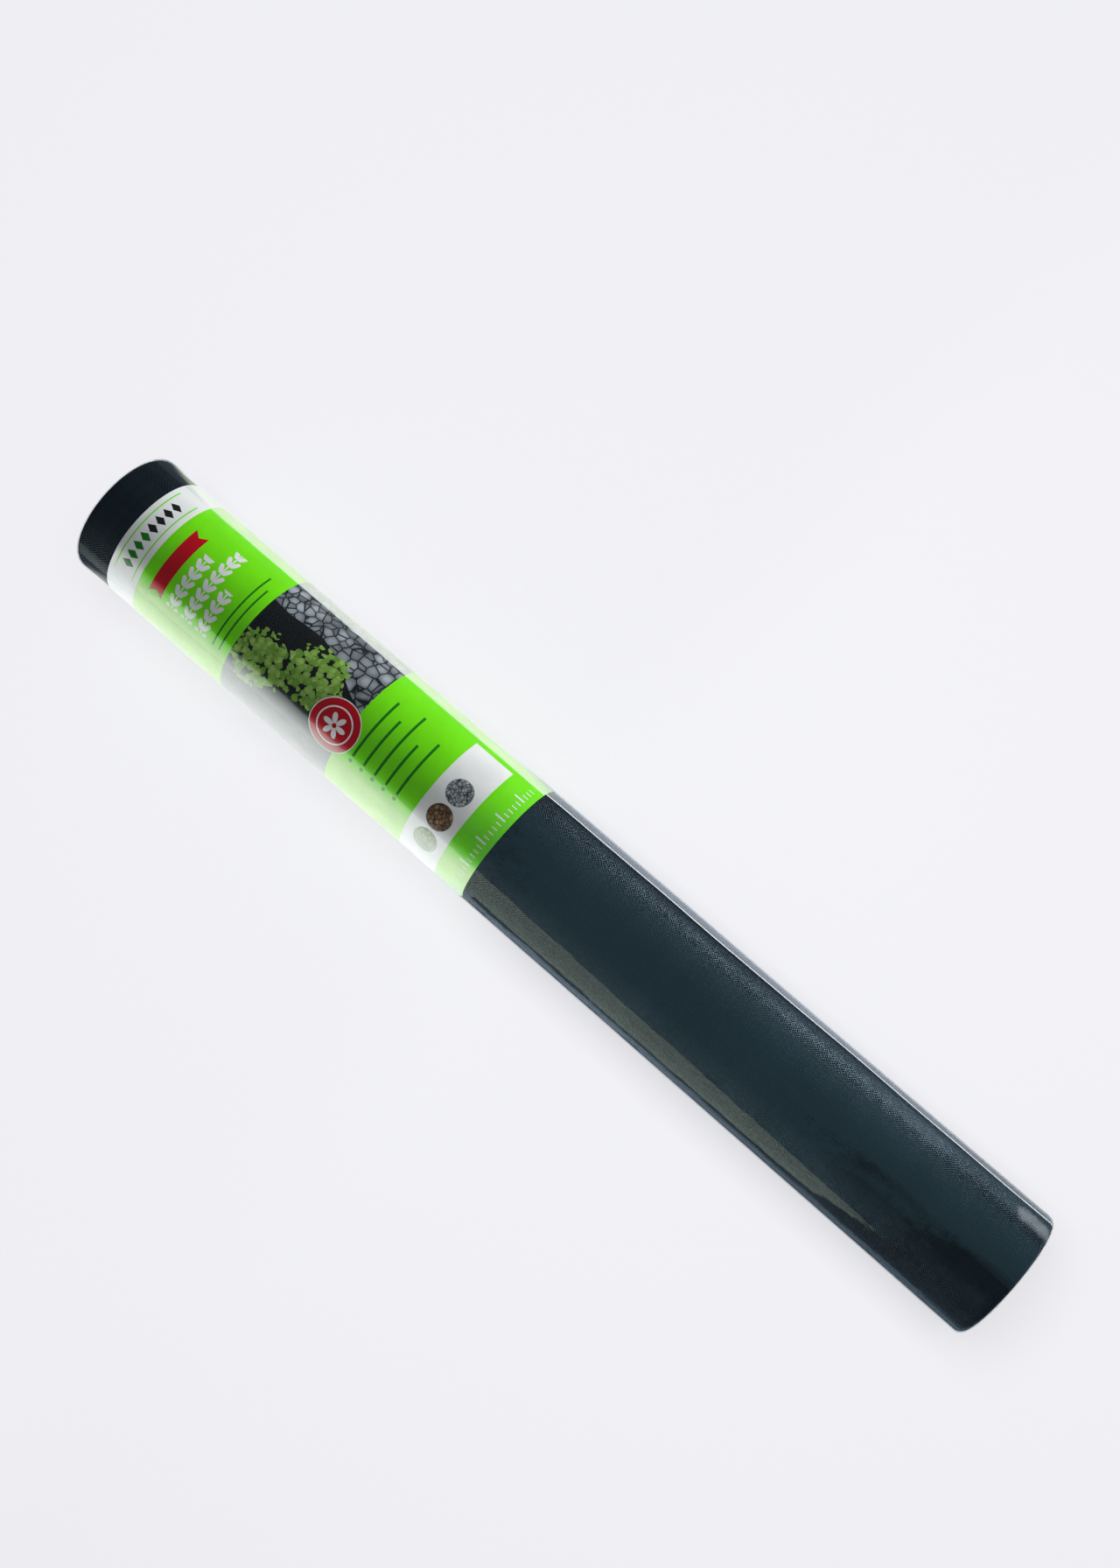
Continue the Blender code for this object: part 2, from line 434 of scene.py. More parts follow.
def fabric_material():
    """Black woven tapes, with the turns' cut edges on both ends."""
    shader = new_shader("woven_fabric")
    along, turns, place = shader.roll_place()
    woven = weave(shader, along, turns)
    own, streak = own_tones(shader, woven)
    rings = turn_rings(shader, turns, place)
    at_end = shader.more(shader.math("ABSOLUTE", along), HALF_WIDTH - CUT_EDGE)
    edges = shader.mix(shader.range(rings, 0.35, 0.65), TURN_DARK, TURN_LIGHT)
    tone = shader.mix(at_end, tape_colour(shader, own, woven["height"], place), edges)
    height = shader.choose(at_end, woven["height"], rings)
    fine = shader.bump(streak, 0.25, STREAK_RELIEF)
    shader.set(Base_Color=tone, Normal=shader.bump(height, 1.0, WEAVE_RELIEF, fine))
    shader.set(Roughness=shader.times_plus(own, ROUGHNESS_SPREAD, TAPE_ROUGHNESS))
    gloss = tape_gloss(shader, height, woven["weft_over"], along, turns, place)
    spark = shader.range(woven["crossing"], 0.0, 1.0, 0.7, 1.25)
    spark = shader.choose(side_share(shader, turns), 0.95, spark)
    shader.set(Specular_IOR_Level=gloss, Specular_Tint=shader.combine(spark, spark, spark))
    return shader.owner


def sheet_rows(first_turn, last_turn, steps, columns):
    """Outer and inner grids of a stretch of the winding, between two counts of turns."""
    turned = np.linspace(first_turn, last_turn, round((last_turn - first_turn) * steps))[:, None]
    x = columns[None, :]
    leaning = np.clip(turned - REAL_TURNS + 1, 0, 1)
    angle = TAIL_ANGLE + TAIL_LEAN * x * leaning + 360 * (REAL_TURNS - turned)
    turn = np.radians(angle)
    inner = FABRIC_INNER + TURN_PITCH * turned
    depth = (inner - FABRIC_INNER) / (FABRIC_OUTER - FABRIC_INNER)
    drawn = EDGE_SQUEEZE * depth * end_squeeze(x)
    inner = inner + lumps(x, angle) * depth - drawn
    stray = waves(turned, turn, *EDGE_STRAY) * np.sign(x)
    reach = np.where(np.abs(x) > HALF_WIDTH - EDGE_RIM, stray, 0)
    outer = inner + FABRIC_THICKNESS
    return put_on_roll(x + reach, outer, turn), put_on_roll(x + reach, inner, turn)


def across_columns(rim_steps, middle):
    """Places along the roll, closer together on its curved shoulders."""
    share = np.sin(np.linspace(0, math.pi / 2, rim_steps + 1))
    rim = BARREL_END + SHOULDER * share
    return np.concatenate([-rim[::-1], middle, rim])


def build_fabric(material):
    """The whole 12 m sheet: its hidden turns in long facets, its last turn in fine ones."""
    last_hidden = REAL_TURNS - FINE_TURNS
    columns = across_columns(COARSE_RIM_STEPS, [0])
    points, faces = closed_strip(*sheet_rows(0, last_hidden, COARSE_STEPS, columns))
    columns = across_columns(FINE_RIM_STEPS, np.linspace(-BARREL_END, BARREL_END, FINE_COLUMNS)[1:-1])
    grids = sheet_rows(last_hidden, REAL_TURNS, FINE_STEPS, columns)
    more_points, more_faces = closed_strip(*grids, len(points))
    points = np.concatenate([points, more_points])
    sheet = make_mesh("fabric_sheet", points, faces + more_faces, material)
    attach(sheet, "root")
    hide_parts("fabric_winding")
    return sheet


# Printed label, placed in metres down from its head and across from the top of the roll

LABEL_LENGTH = LABEL_END - LABEL_START
LABEL_WRAP = 0.297
LABEL_ROWS, LABEL_COLUMNS = 260, 50
PAPER_THICKNESS = 0.00015
PAPER_ROOM = 0.0001
PAPER_RELIEF = 0.00008
HEAD_END = 0.032
ART_LEFT = -0.04
PICTURE_TOP, PICTURE_END = 0.137, 0.261
BOX_TOP, BOX_END = 0.348, 0.389
BOX_RIGHT = 0.0545
LEAF_SIZE, LEAF_STRAY = 0.0072, 0.004

# Middle down the label and right end of each row of leaves
LEAF_ROWS = ((0.071, 0.018), (0.088, 0.04), (0.105, 0.006))
# Top and right end of each dark rule
DARK_RULES = ((0.119, 0.042), (0.1265, 0.03))
# Place down and across of each drift of seedlings, and its reach
DRIFTS = ((0.162, -0.022, 0.029), (0.208, 0.000, 0.031))
LISTED_LENGTHS = (0.062, 0.05, 0.068, 0.044, 0.057)
# Leaves, bark and pebbles: place across, size of grain, dark tone, light tone, seed
SWATCHES = ((-0.048, 0.0034, (0.05, 0.16, 0.012), (0.42, 0.64, 0.16), 5.0),
            (-0.021, 0.0036, (0.09, 0.04, 0.016), (0.52, 0.3, 0.13), 7.0),
            (0.006, 0.003, (0.13, 0.15, 0.16), (0.52, 0.55, 0.57), 9.0))
# Where the print's painted shade grows and fades again, and where the painted highlight that washes its
# margins pale begins and is full
PAINTED_SHADE_FROM, PAINTED_SHADE_TO = (12, -14), (-38, -20)
LEFT_PAINTED_HIGHLIGHT, RIGHT_PAINTED_HIGHLIGHT = (-25, -47), (57.8, 58.8)
# Spacing of the ruler's ticks, their top, and half their width as a share of the spacing
TICK_SHARES = ((0.005, 0.4085, 0.09), (0.025, 0.4035, 0.03))

GREEN = (0.19, 0.86, 0.003)
GREEN_INK = (0.012, 0.2, 0.008)
BLACK_INK = (0.012, 0.012, 0.014)
RED_INK = (0.56, 0.001, 0.012)
PAPER_WHITE = (0.9, 0.91, 0.9)
SWATCH_RIM = (0.25, 0.26, 0.27)


class Print(Shader):
    """The label's shader, with inks laid on one after another."""

    def __init__(self, owner):
        super().__init__(owner)
        along, self.turns, self.place = self.roll_place()
        self.down = self.minus(along, LABEL_START)
        self.across = self.times(self.turns, math.tau * LABEL_OUTER)
        self.flat = self.combine(self.down, self.across)
        self.colour = GREEN

    def ink(self, mask, colour):
        self.colour = self.mix(mask, self.colour, colour)

    def inside(self, value, low, high):
        return self.math("COMPARE", value, (low + high) / 2, (high - low) / 2)

    def bar(self, top, end, left, right):
        return self.times(self.inside(self.down, top, end), self.inside(self.across, left, right))

    def centred(self, down, across):
        """Distance and angle from a point of the label."""
        off_down = self.minus(self.down, down)
        off_across = self.minus(self.across, across)
        near = self.length(self.combine(off_down, off_across))
        return near, self.math("ARCTAN2", off_across, off_down)

    def disc(self, down, across, radius):
        return self.less(self.centred(down, across)[0], radius)

    def cells(self, size, seed, feature="F1", stray=0.0):
        """Scattered cells of about one size: outputs for a distance and a random colour each."""
        down, across = self.down, self.across
        if stray:
            push = self.times(self.noise(self.combine(down, across, seed), 220.0), stray)
            down = self.math("ADD", down, push)
            across = self.math("ADD", across, push)
        made = self.node("ShaderNodeTexVoronoi", voronoi_dimensions="3D", feature=feature)
        self.named(made, Vector=self.combine(down, across, seed), Scale=1 / size)
        return made.outputs

    def garland(self, middle, left, right):
        """Row of slanting leaves on both sides of a stem."""
        pitch, reach, slant, stem_width = 0.0098, 0.0068, 0.9, 0.0007
        side = self.off(self.down, middle)
        slanted = self.math("DIVIDE", self.times_plus(side, -slant, self.across), pitch)
        place = self.off(self.math("FRACT", slanted), 0.5)
        width = self.times(self.arch(self.math("DIVIDE", side, reach, clamp=True)), 0.38)
        leaf_or_stem = self.math("MAXIMUM", self.less(place, width), self.less(side, stem_width))
        return self.times(leaf_or_stem, self.inside(self.across, left, right))

    def ribbon(self, top, end, left, right, notch):
        """Bar whose two ends are notched like a cut ribbon."""
        side = self.off(self.down, (top + end) / 2)
        dip = self.times_plus(side, -2 * notch / (end - top), notch)
        from_left = self.more(self.across, self.math("ADD", dip, left))
        from_right = self.less(self.across, self.minus(right, dip))
        return self.times(self.inside(self.down, top, end), from_left, from_right)


def head_band(art):
    """White band with two green rules and a row of plain lozenges."""
    rule_tops, rule_width, rule_left, rule_right = (0.005, 0.0255), 0.0013, -0.047, 0.049
    pitch, middle, row_reach = 0.0095, 0.0159, 0.038
    steepness, half_share = 62, 0.4
    art.ink(art.less(art.down, HEAD_END), PAPER_WHITE)
    for top in rule_tops:
        art.ink(art.bar(top, top + rule_width, rule_left, rule_right), GREEN)
    along = art.off(art.math("FRACT", art.math("DIVIDE", art.across, pitch)), 0.5)
    shape = art.times_plus(art.off(art.down, middle), steepness, along)
    row = art.times(art.less(shape, half_share), art.inside(art.across, -row_reach, row_reach))
    art.ink(row, art.mix(art.more(art.across, 0.0), GREEN_INK, BLACK_INK))


def ornaments(art):
    """Red ribbon over three rows of white leaves, and two dark rules."""
    top, end, right, notch = 0.044, 0.058, 0.03, 0.005
    rule_width = 0.0017
    art.ink(art.ribbon(top, end, ART_LEFT, right, notch), RED_INK)
    for middle, right in LEAF_ROWS:
        art.ink(art.garland(middle, ART_LEFT, right), PAPER_WHITE)
    for top, right in DARK_RULES:
        art.ink(art.bar(top, top + rule_width, ART_LEFT, right), GREEN_INK)


def pebbles(art, size, low, high, seed):
    """Rounded stones: colour from dark joints to each stone's own tone."""
    edge = art.cells(size, seed, "DISTANCE_TO_EDGE")["Distance"]
    cell = art.cells(size, seed)
    tone = art.mix(art.parts(cell["Color"], "Color")[0], low, high)
    speckle = art.noise(art.flat, 1500.0)
    tone = art.mix(art.range(speckle, 0.35, 0.7, 0.0, 0.45), tone, high)
    tone = art.mix(art.range(cell["Distance"], 0.2, 0.75, 0.0, 0.65), tone, low)
    return art.mix(art.range(edge, 0.02, 0.1), (0.01, 0.011, 0.012), tone)


def leaves(art, region, seed):
    """Round leaves of several greens, most of them where the region's value is high."""
    cell = art.cells(LEAF_SIZE, seed, stray=LEAF_STRAY)
    random = art.parts(cell["Color"], "Color")
    kept = art.more(art.math("ADD", random[1], region), 0.9)
    tone = art.mix(random[0], (0.15, 0.33, 0.03), (0.48, 0.74, 0.18))
    tone = art.mix(art.range(cell["Distance"], 0.0, 0.45, 0.0, 0.45), tone, (0.1, 0.26, 0.02))
    art.ink(art.times(art.less(cell["Distance"], 0.5), kept), tone)


def pebble_path(art, zone):
    """Path of grey pebbles that sways down the right side of the picture."""
    pace, start, sway = 52.0, 0.6, 0.0065
    lean, edge, size = -0.22, 0.066, 0.0088
    wave = art.math("SINE", art.times_plus(art.down, pace, start))
    inside = art.minus(art.across, art.times_plus(art.down, lean, edge))
    path = art.more(art.times_plus(wave, sway, inside), 0.0)
    stones = pebbles(art, size, (0.085, 0.1, 0.115), (0.4, 0.44, 0.48), 3.0)
    art.ink(art.times(zone, path), stones)


def picture(art):
    """Garden bed: dark ground, a path of grey pebbles and two drifts of seedlings."""
    ragged_by, fade_from, fade_to = 0.03, 0.02, 0.004
    zone = art.inside(art.down, PICTURE_TOP, PICTURE_END)
    speck = art.range(art.noise(art.flat, 900.0, 3.0), 0.45, 0.75)
    art.ink(zone, art.mix(speck, (0.006, 0.006, 0.007), (0.034, 0.034, 0.036)))
    pebble_path(art, zone)
    for down, across, reach in DRIFTS:
        far = art.centred(down, across)[0]
        ragged = art.times_plus(art.noise(art.flat, 70.0), ragged_by, far)
        region = art.range(ragged, reach + fade_from, reach + fade_to, -0.4, 1.0)
        region = art.math("ADD", region, art.minus(zone, 1))
        for layer in (0.11, 0.57, 0.83):
            leaves(art, region, layer)


def roundel(art):
    """Plain red disc with a white ring and a six-petalled flower."""
    down, across = 0.25, -0.021
    rim, face, ring_outer, ring_inner = 0.0245, 0.0236, 0.0172, 0.0158
    petal_length, heart, eye = 0.009, 0.0026, 0.0022
    near, turn = art.centred(down, across)
    art.ink(art.less(near, rim), PAPER_WHITE)
    art.ink(art.less(near, face), RED_INK)
    art.ink(art.inside(near, ring_inner, ring_outer), PAPER_WHITE)
    petal = art.math("ABSOLUTE", art.math("COSINE", art.times(turn, 3)))
    art.ink(art.less(near, art.times_plus(petal, petal_length, heart)), PAPER_WHITE)
    art.ink(art.less(near, eye), RED_INK)


def listed_rules(art):
    """Five dark-green rules of unlike length, each behind a round bullet."""
    first, pitch, half = 0.2785, 0.0125, 0.0012
    left, bullet_place, bullet_radius = -0.031, -0.036, 0.0019
    for row, length in enumerate(LISTED_LENGTHS):
        middle = first + pitch * row
        art.ink(art.disc(middle, bullet_place, bullet_radius), GREEN_INK)
        art.ink(art.bar(middle - half, middle + half, left, left + length), GREEN_INK)


def swatch_box(art):
    """White box with three round swatches: leaves, bark and pebbles."""
    rim, face, lowered = 0.0122, 0.0118, 0.001
    zone = art.times(art.inside(art.down, BOX_TOP, BOX_END), art.less(art.across, BOX_RIGHT))
    art.ink(zone, PAPER_WHITE)
    middle = (BOX_TOP + BOX_END) / 2 + lowered
    for across, size, dark, light, seed in SWATCHES:
        art.ink(art.disc(middle, across, rim), SWATCH_RIM)
        art.ink(art.disc(middle, across, face), pebbles(art, size, dark, light, seed))


def tick_ruler(art):
    """White ticks along the foot of the label, every fifth one longer."""
    end, left, right = 0.414, -0.056, 0.055
    for spacing, top, share in TICK_SHARES:
        place = art.math("FRACT", art.math("DIVIDE", art.across, spacing))
        tick = art.math("COMPARE", place, 0.5, share)
        art.ink(art.times(tick, art.bar(top, end, left, right)), PAPER_WHITE)


def painted_light_wash(art):
    """The print darkened by painted shade left of its middle, and washed pale at both sides by painted
    highlight.
    """
    degrees = art.degrees(art.turns)
    # Painted shade: the print darkens left of its middle
    shade = art.times(art.range(degrees, *PAINTED_SHADE_FROM), art.range(degrees, *PAINTED_SHADE_TO), 0.35)
    colour = art.mix(shade, art.colour, (0, 0, 0))
    # Painted highlight: pale margins at both sides
    left = art.range(degrees, *LEFT_PAINTED_HIGHLIGHT, 0.0, 0.64)
    right = art.range(degrees, *RIGHT_PAINTED_HIGHLIGHT, 0.0, 0.6)
    channels = art.parts(colour, "Color")
    greenness = art.math("SUBTRACT", channels[1], channels[2], clamp=True)
    pale = art.mix(greenness, (0.97, 0.98, 0.97), (0.98, 1.0, 0.76))
    return art.mix(art.math("MAXIMUM", left, right), colour, pale)


def label_material():
    """Coated paper printed green, with bands, ornaments and a garden picture."""
    art = Print(bpy.data.materials.new("label_paper"))
    for layer in (head_band, ornaments, picture, roundel, listed_rules, swatch_box, tick_ruler):
        layer(art)
    mottle = art.range(art.noise(art.place, 60.0, 3.0), 0.3, 0.7, 0.0, 0.06)
    # The colour carries painted shade and painted highlight from the wash
    art.set(Base_Color=art.mix(mottle, painted_light_wash(art), (0.02, 0.04, 0.01)))
    art.set(Roughness=0.34, Specular_IOR_Level=0.15)
    art.set(Normal=art.bump(art.noise(art.place, 900.0, 3.0), 0.12, PAPER_RELIEF))
    return art.owner


def build_label(material):
    """Straight-cut paper, wrapped round the labelled half over the fabric's tail."""
    span = LABEL_WRAP / LABEL_OUTER
    turn = np.linspace(-span / 2, span / 2, LABEL_ROWS)[:, None]
    x = np.linspace(LABEL_START, LABEL_START + LABEL_LENGTH, LABEL_COLUMNS)[None, :]
    angle = np.degrees(turn)
    radius = cover_radius(x, angle) + lumps(x, angle) + PAPER_ROOM
    outer = put_on_roll(x, radius + PAPER_THICKNESS, turn)
    points, faces = closed_strip(outer, put_on_roll(x, radius, turn))
    label = make_mesh("label_paper", points, faces, material)
    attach(label, "root")
    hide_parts("label_sheet")
    return label


# Clear film

FILM_ROOM = 0.0005
FILM_STEPS = 330
COLLAR_SHARE = 0.5
COLLAR_STEP = 0.0003
BARREL_COARSE_TO, BARREL_FINE_FROM = 0.06, 0.055

# The lap: its edge's least angle, the angle at the roll's middle and the skew in a metre
LAP_LEAST, LAP_MIDDLE, LAP_SKEW = 57.0, 61.0, 12.0
# How far it goes round, the stretch over which it settles on the film below, and its lift
LAP_SPAN = 36.0
LAP_EASE = 8.0
LAP_LIFT = 0.00018
# Middle and half width of the painted shadow line before the edge, and of the white weld past it, which
# is partly a painted highlight
PAINTED_SHADOW_LINE = (-1.2, 1.1)
WELD_AND_HIGHLIGHT_LINE = (0.5, 0.55)
LAP_HAZE_RISE, LAP_HAZE_FALL = 0.35, 3
# Waves of its free edge: radians a metre, start and height
LAP_WANDER = ((23.0, 1.0, 0.45), (61.0, 2.4, 0.25))
# Angles past the free edge at which the film is drawn, closer together next to the edge
FREE_EDGE = (0, 0.2, 0.45, 0.8, 1.25)

# Folds at each end: how many, how wide, and a seed for either end
PULLS = (34, 1.6, (31, 47))
PLEATS = (30, 2.2, (33, 49))
PULL_REACH, PULL_HEIGHT = 0.07, 0.0003
PLEAT_REACH, PLEAT_HEIGHT = 0.006, 0.0016

# Painted highlight at the bare end: a whitish hazy patch on the film over the rim
HIGHLIGHT_PATCH_X, HIGHLIGHT_PATCH_REACH = 0.486, 0.022
HIGHLIGHT_PATCH_ANGLE, HIGHLIGHT_PATCH_SPREAD = 51.0, 9.0
HIGHLIGHT_PATCH_HAZE = 0.26

FILM_INDEX = 1.75
FILM_ROUGHNESS = 0.06
FILM_RELIEF = 0.004
FILM_HAZE = 0.004
LAP_HAZE = 0.14
# The weld's white: partly the seam's own, partly a painted highlight
WELD_AND_HIGHLIGHT_HAZE = 0.8
FILM_CLEAR = (0.975, 0.985, 0.985)
FILM_MILKY = (0.58, 0.61, 0.65)
WELD_AND_HIGHLIGHT_WHITE = (0.84, 0.88, 0.94)
# Dark tint of the clear film before the lap's edge: a painted shadow
LAP_EDGE_PAINTED_SHADOW = (0.12, 0.13, 0.16)


def lap_angle(x):
    """Angle of the lap's free edge in degrees, which runs askew and wanders a little."""
    edge = np.maximum(LAP_LEAST, LAP_MIDDLE + LAP_SKEW * x)
    for pace, start, height in LAP_WANDER:
        edge = edge + height * np.sin(pace * x + start)
    return edge


def past_lap(shader, along, turns):
    """The same edge in the shader: how many degrees a place lies past it."""
    edge = shader.math("MAXIMUM", shader.times_plus(along, LAP_SKEW, LAP_MIDDLE), LAP_LEAST)
    for pace, start, height in LAP_WANDER:
        wave = shader.math("SINE", shader.times_plus(along, pace, start))
        edge = shader.times_plus(wave, height, edge)
    return shader.minus(shader.degrees(turns), edge)


def painted_highlight_patch(shader, along, turns, place):
    """Painted highlight: a ragged whitish patch, strongest in its middle."""
    maths = shader.math
    off_x = maths("DIVIDE", shader.minus(along, HIGHLIGHT_PATCH_X), HIGHLIGHT_PATCH_REACH)
    off_angle = maths("DIVIDE", shader.minus(shader.degrees(turns), HIGHLIGHT_PATCH_ANGLE), HIGHLIGHT_PATCH_SPREAD)
    far = maths("ADD", maths("POWER", off_x, 2), maths("POWER", off_angle, 2))
    far = maths("ADD", far, shader.range(shader.noise(place, 90.0, 3.0), 0.3, 0.7, -0.3, 0.3))
    return shader.range(far, 1.3, 0.0, 0.0, HIGHLIGHT_PATCH_HAZE)


def cling(shader, along, turns):
    """How much of its gloss the film keeps: it is broken up where it clings to the tapes."""
    woven = weave(shader, along, turns)
    own = shader.times_plus(woven["crossing"], 0.3, 0.7)
    own = shader.times(own, shader.choose(woven["weft_over"], 1.0, 0.4))
    crown = shader.times(shader.range(woven["height"], 0.25, 0.75), own)
    broken = shader.times_plus(crown, 1.03, 0.35)
    kept = shader.choose(side_share(shader, turns), 0.81, broken)
    return shader.choose(shader.less(along, LABEL_END), kept, 1.0)


def film_gloss(shader, along, turns):
    """The film's sharp gloss over slow ripples, and how much of it shows at each slant."""
    place = shader.combine(shader.times(along, 6.0), shader.times(turns, 9.0))
    normal = shader.bump(shader.noise(place, 4.0, 3.0), 0.1, FILM_RELIEF)
    fresnel = shader.named(shader.node("ShaderNodeFresnel"), IOR=FILM_INDEX, Normal=normal)
    glossy = shader.node("ShaderNodeBsdfAnisotropic")
    gloss = shader.named(glossy, Color=(1, 1, 1), Roughness=FILM_ROUGHNESS, Normal=normal)
    return gloss, shader.math("MULTIPLY", fresnel, cling(shader, along, turns), clamp=True)


def film_body(shader, clear, along, turns, place):
    """Clear film: painted shadow before the lap's edge, a weld whitened partly as a painted highlight,
    hazy past it, and a painted highlight patch.
    """
    past = past_lap(shader, along, turns)
    bare = shader.more(along, LABEL_END)
    # Painted shadow: the clear film darkens just before the lap's edge
    painted_shadow = shader.times(shader.math("COMPARE", past, *PAINTED_SHADOW_LINE), bare)
    shader.feed(clear.inputs["Color"], shader.mix(painted_shadow, FILM_CLEAR, LAP_EDGE_PAINTED_SHADOW))
    lapped = shader.times(shader.range(past, 0.0, LAP_HAZE_RISE),
                            shader.range(past, LAP_SPAN, LAP_SPAN - LAP_HAZE_FALL), bare)
    # The weld along the lap's edge: whitish, and painted brighter as a highlight
    weld_and_highlight = shader.times(shader.math("COMPARE", past, *WELD_AND_HIGHLIGHT_LINE), bare)
    haze = shader.times_plus(lapped, LAP_HAZE, FILM_HAZE)
    haze = shader.math("MAXIMUM", haze, shader.times(weld_and_highlight, WELD_AND_HIGHLIGHT_HAZE))
    # Painted highlight patch at the bare end, added as haze
    haze = shader.math("MAXIMUM", haze, painted_highlight_patch(shader, along, turns, place))
    milky = shader.diffuse(shader.mix(weld_and_highlight, FILM_MILKY, WELD_AND_HIGHLIGHT_WHITE))
    return shader.blend(haze, clear.outputs[0], milky)


def film_material():
    """Glossy see-through skin, whose back faces only let light through."""
    shader = new_shader("shrink_film")
    along, turns, place = shader.roll_place()
    clear = shader.node("ShaderNodeBsdfTransparent")
    body = film_body(shader, clear, along, turns, place)
    gloss, mirrored = film_gloss(shader, along, turns)
    front = shader.blend(mirrored, body, gloss)
    back = shader.node("ShaderNodeNewGeometry").outputs["Backfacing"]
    shader.show(shader.blend(back, front, clear.outputs[0]))
    return shader.owner


def film_profile():
    """Half profile of the film as x and radius, from the roll's middle to the collar."""
    middle = np.linspace(0, BARREL_END - BARREL_COARSE_TO, 20)
    towards_end = np.linspace(BARREL_END - BARREL_FINE_FROM, BARREL_END, 12)
    points = [(x, FILM_RADIUS) for x in (*middle, *towards_end)]
    centre_radius = FILM_RADIUS - SHOULDER
    for turn in np.linspace(0, math.pi / 2, 9)[1:]:
        points.append((BARREL_END + FILM_ROOM + SHOULDER * math.sin(turn),
                       centre_radius + SHOULDER * math.cos(turn)))
    collar = CORE_RADIUS + COLLAR_SHARE * (centre_radius - CORE_RADIUS)
    for radius in np.linspace(centre_radius, collar, 9)[1:]:
        points.append((HALF_WIDTH + FILM_ROOM, radius))
    return np.array(points)


def ridges(angle, count, width, seed):
    """Narrow folds at uneven angles round the roll, from 0 to about 1."""
    source = np.random.default_rng(seed)
    total = np.zeros_like(angle)
    spacing = 360 / count
    for fold in range(count):
        centre = (fold + source.uniform(0.1, 0.9)) * spacing
        height = source.uniform(0.35, 1.0)
        spread = width * source.uniform(0.6, 1.4)
        apart = (angle - centre + 180) % 360 - 180
        total = total + height * np.exp(-(apart / spread) ** 2)
    return total


def end_folds(x, angle, count, width, seeds):
    """Unlike folds for the labelled end and the bare one."""
    labelled, bare = (ridges(angle, count, width, seed) for seed in seeds)
    return np.where(x < 0, labelled, bare)


def film_points(x, radius, wound):
    """The film's points from its profile and from how far it is wound past its free edge."""
    angle = lap_angle(x) + wound
    on_barrel = np.clip((radius - (FILM_RADIUS - SHOULDER)) / SHOULDER, 0, 1)
    slack = cover_radius(x, angle) - FABRIC_OUTER + lumps(x, angle)
    near_end = np.clip(1 - (HALF_WIDTH - np.abs(x)) / PULL_REACH, 0, 1) ** 1.5
    pull = PULL_HEIGHT * end_folds(x, angle, *PULLS) * near_end
    over = LAP_LIFT * np.clip((LAP_SPAN + LAP_EASE - wound) / LAP_EASE, 0, 1)
    depth = np.clip((FILM_RADIUS - SHOULDER - radius) / PLEAT_REACH, 0, 1)
    pleat = PLEAT_HEIGHT * end_folds(x, angle, *PLEATS) * depth
    push = pleat + (COLLAR_STEP + over) * (1 - on_barrel)
    raised = radius + on_barrel * (slack + pull + over)
    place = put_on_roll(x + np.sign(x) * push, raised, np.radians(angle))
    place[..., 2] = np.maximum(place[..., 2], 0)
    return place


def build_film(material):
    """One sheet, wound once round the roll and over its own start by the lap's span."""
    half = film_profile()
    x = np.concatenate([-half[:0:-1, 0], half[:, 0]])[None, :]
    radius = np.concatenate([half[:0:-1, 1], half[:, 1]])[None, :]
    rest = np.linspace(FREE_EDGE[-1], 360 + LAP_SPAN, FILM_STEPS)
    place = film_points(x, radius, np.concatenate([FREE_EDGE[:-1], rest])[:, None])
    faces = grid_faces(*place.shape[:2]).tolist()
    film = make_mesh("film_wrap", place, faces, material)
    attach(film, "root")
    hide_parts("shrink_film")
    return film


# Cardboard core and its tape

SEAM_PITCH = 0.24
SEAM_SHARE = 0.006
BOARD_RELIEF = 0.0004


def core_material():
    """Brown board with a spiral seam."""
    shader = new_shader("cardboard")
    along, turns, place = shader.roll_place()
    wound = shader.math("FRACT", shader.math("ADD", turns, shader.math("DIVIDE", along, SEAM_PITCH)))
    flush = shader.range(shader.off(wound, 0.5), 0.0, SEAM_SHARE)
    fibre = shader.noise(place, 400.0, 5.0)
    board = shader.mix(fibre, (0.36, 0.25, 0.15), (0.5, 0.37, 0.24))
    shader.set(Base_Color=shader.mix(flush, (0.16, 0.1, 0.06), board))
    shader.set(Roughness=0.85, Specular_IOR_Level=0.2)
    height = shader.times_plus(fibre, 0.25, flush)
    shader.set(Normal=shader.bump(height, 0.5, BOARD_RELIEF))
    return shader.owner


def tape_material():
    """Yellowish tape with a faint speckle."""
    shader = new_shader("tape")
    speckle = shader.noise(shader.node("ShaderNodeTexCoord").outputs["Object"], 700.0)
    shader.set(Base_Color=shader.mix(speckle, (0.7, 0.66, 0.55), (0.8, 0.77, 0.68)))
    shader.set(Roughness=0.55)
    return shader.owner


def dress_node(name, material):
    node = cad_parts[name]
    node.data.materials.clear()
    node.data.materials.append(material)


# Stage, lights and camera

FLOOR_SIZE = 30
FLOOR_GREY = (0.86, 0.86, 0.88)
BACKDROP = (0.868, 0.868, 0.9)
SOFT_LIGHT = (0.86, 0.9, 1.0)
SOFT_POWER = 0.12
# The floor's shadow: how far off it fades, where along the roll it changes, and from what to what
SHADOW_FADE = (0.9, 2.2)
SHADOW_SIDE_FADE = (-0.1, 0.05)
SHADOW_SHARES = (0.13, 0.3)

